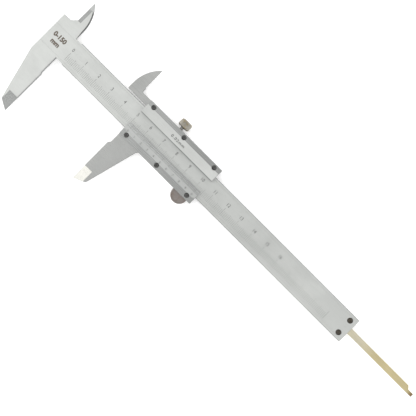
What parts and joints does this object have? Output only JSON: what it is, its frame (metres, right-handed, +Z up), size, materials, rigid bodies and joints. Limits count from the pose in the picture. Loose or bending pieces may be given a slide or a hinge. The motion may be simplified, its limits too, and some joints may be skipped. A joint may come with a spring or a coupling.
{
  "type": "vernier caliper",
  "caption": "Steel vernier caliper with outside and inside jaws, a sliding vernier frame, a knurled lock screw, a thumb roller and a depth rod.",
  "frame": {"origin": "centre of the bounding box in plan at a reading of 52.4 mm, at the height of the slider's back, on which the caliper lies", "axes": "+X along the beam towards the depth rod, +Y across it towards the inside jaws, +Z up, out of the graduated face"},
  "size_m": [0.2828, 0.0768, 0.0072],
  "materials": {
    "satin_steel": "satin chromed steel, brushed along its length",
    "ground_steel": "ground steel, polished",
    "black_oxide": "black oxide on steel, worn at the rims",
    "plated_steel": "dull nickel plate",
    "nickel_plated_brass": "nickel plate worn thin over brass",
    "phosphor_bronze": "rolled bronze strip",
    "straw_steel": "tempered steel with a straw tint, browner at the tip"
  },
  "bodies": {
    "beam": {"beam": "satin_steel", "stop_plate": "satin_steel", "end_screw_lower": "black_oxide", "end_screw_upper": "black_oxide"},
    "slider": {"slider_frame": "ground_steel", "vernier_plate": "satin_steel", "cover_plate": "satin_steel", "vernier_plate_screw_1": "black_oxide", "vernier_plate_screw_2": "black_oxide", "vernier_plate_screw_3": "black_oxide", "cover_plate_screw_1": "black_oxide", "cover_plate_screw_2": "black_oxide", "cover_plate_screw_3": "black_oxide", "depth_rod": "straw_steel", "depth_rod_pin_1": "ground_steel", "depth_rod_pin_2": "ground_steel", "gib_set_screw_1": "black_oxide", "gib_set_screw_2": "black_oxide", "roller_axle": "black_oxide"},
    "gib": {"gib_strip": "phosphor_bronze"},
    "lock_screw": {"lock_screw_shank": "plated_steel", "lock_screw_knob": "nickel_plated_brass"},
    "thumb_roller": {"thumb_roller": "nickel_plated_brass"}
  },
  "joints": [
    {"name": "slider_slide", "type": "slide", "parent": "beam", "child": "slider", "axis": [1, 0, 0], "range_m": [-0.05238, 0.1042]},
    {"name": "gib_press", "type": "slide", "parent": "slider", "child": "gib", "axis": [0, -1, 0], "range_m": [0, 0.00013]},
    {"name": "lock_screw_turn", "type": "hinge", "parent": "gib", "child": "lock_screw", "pos_m": [-0.05175, 0.01995, 0.0036], "axis": [0, -1, 0], "range_deg": [0, 105]},
    {"name": "roller_spin", "type": "hinge", "parent": "slider", "child": "thumb_roller", "pos_m": [-0.027, -0.0036, 0.0025], "axis": [0, 0, 1], "continuous": true}
  ],
  "couplings": [
    {"joint": "lock_screw_turn", "follows": "gib_press", "rad_per_m": 13963},
    {"joint": "roller_spin", "follows": "slider_slide", "rad_per_m": 200}
  ]
}
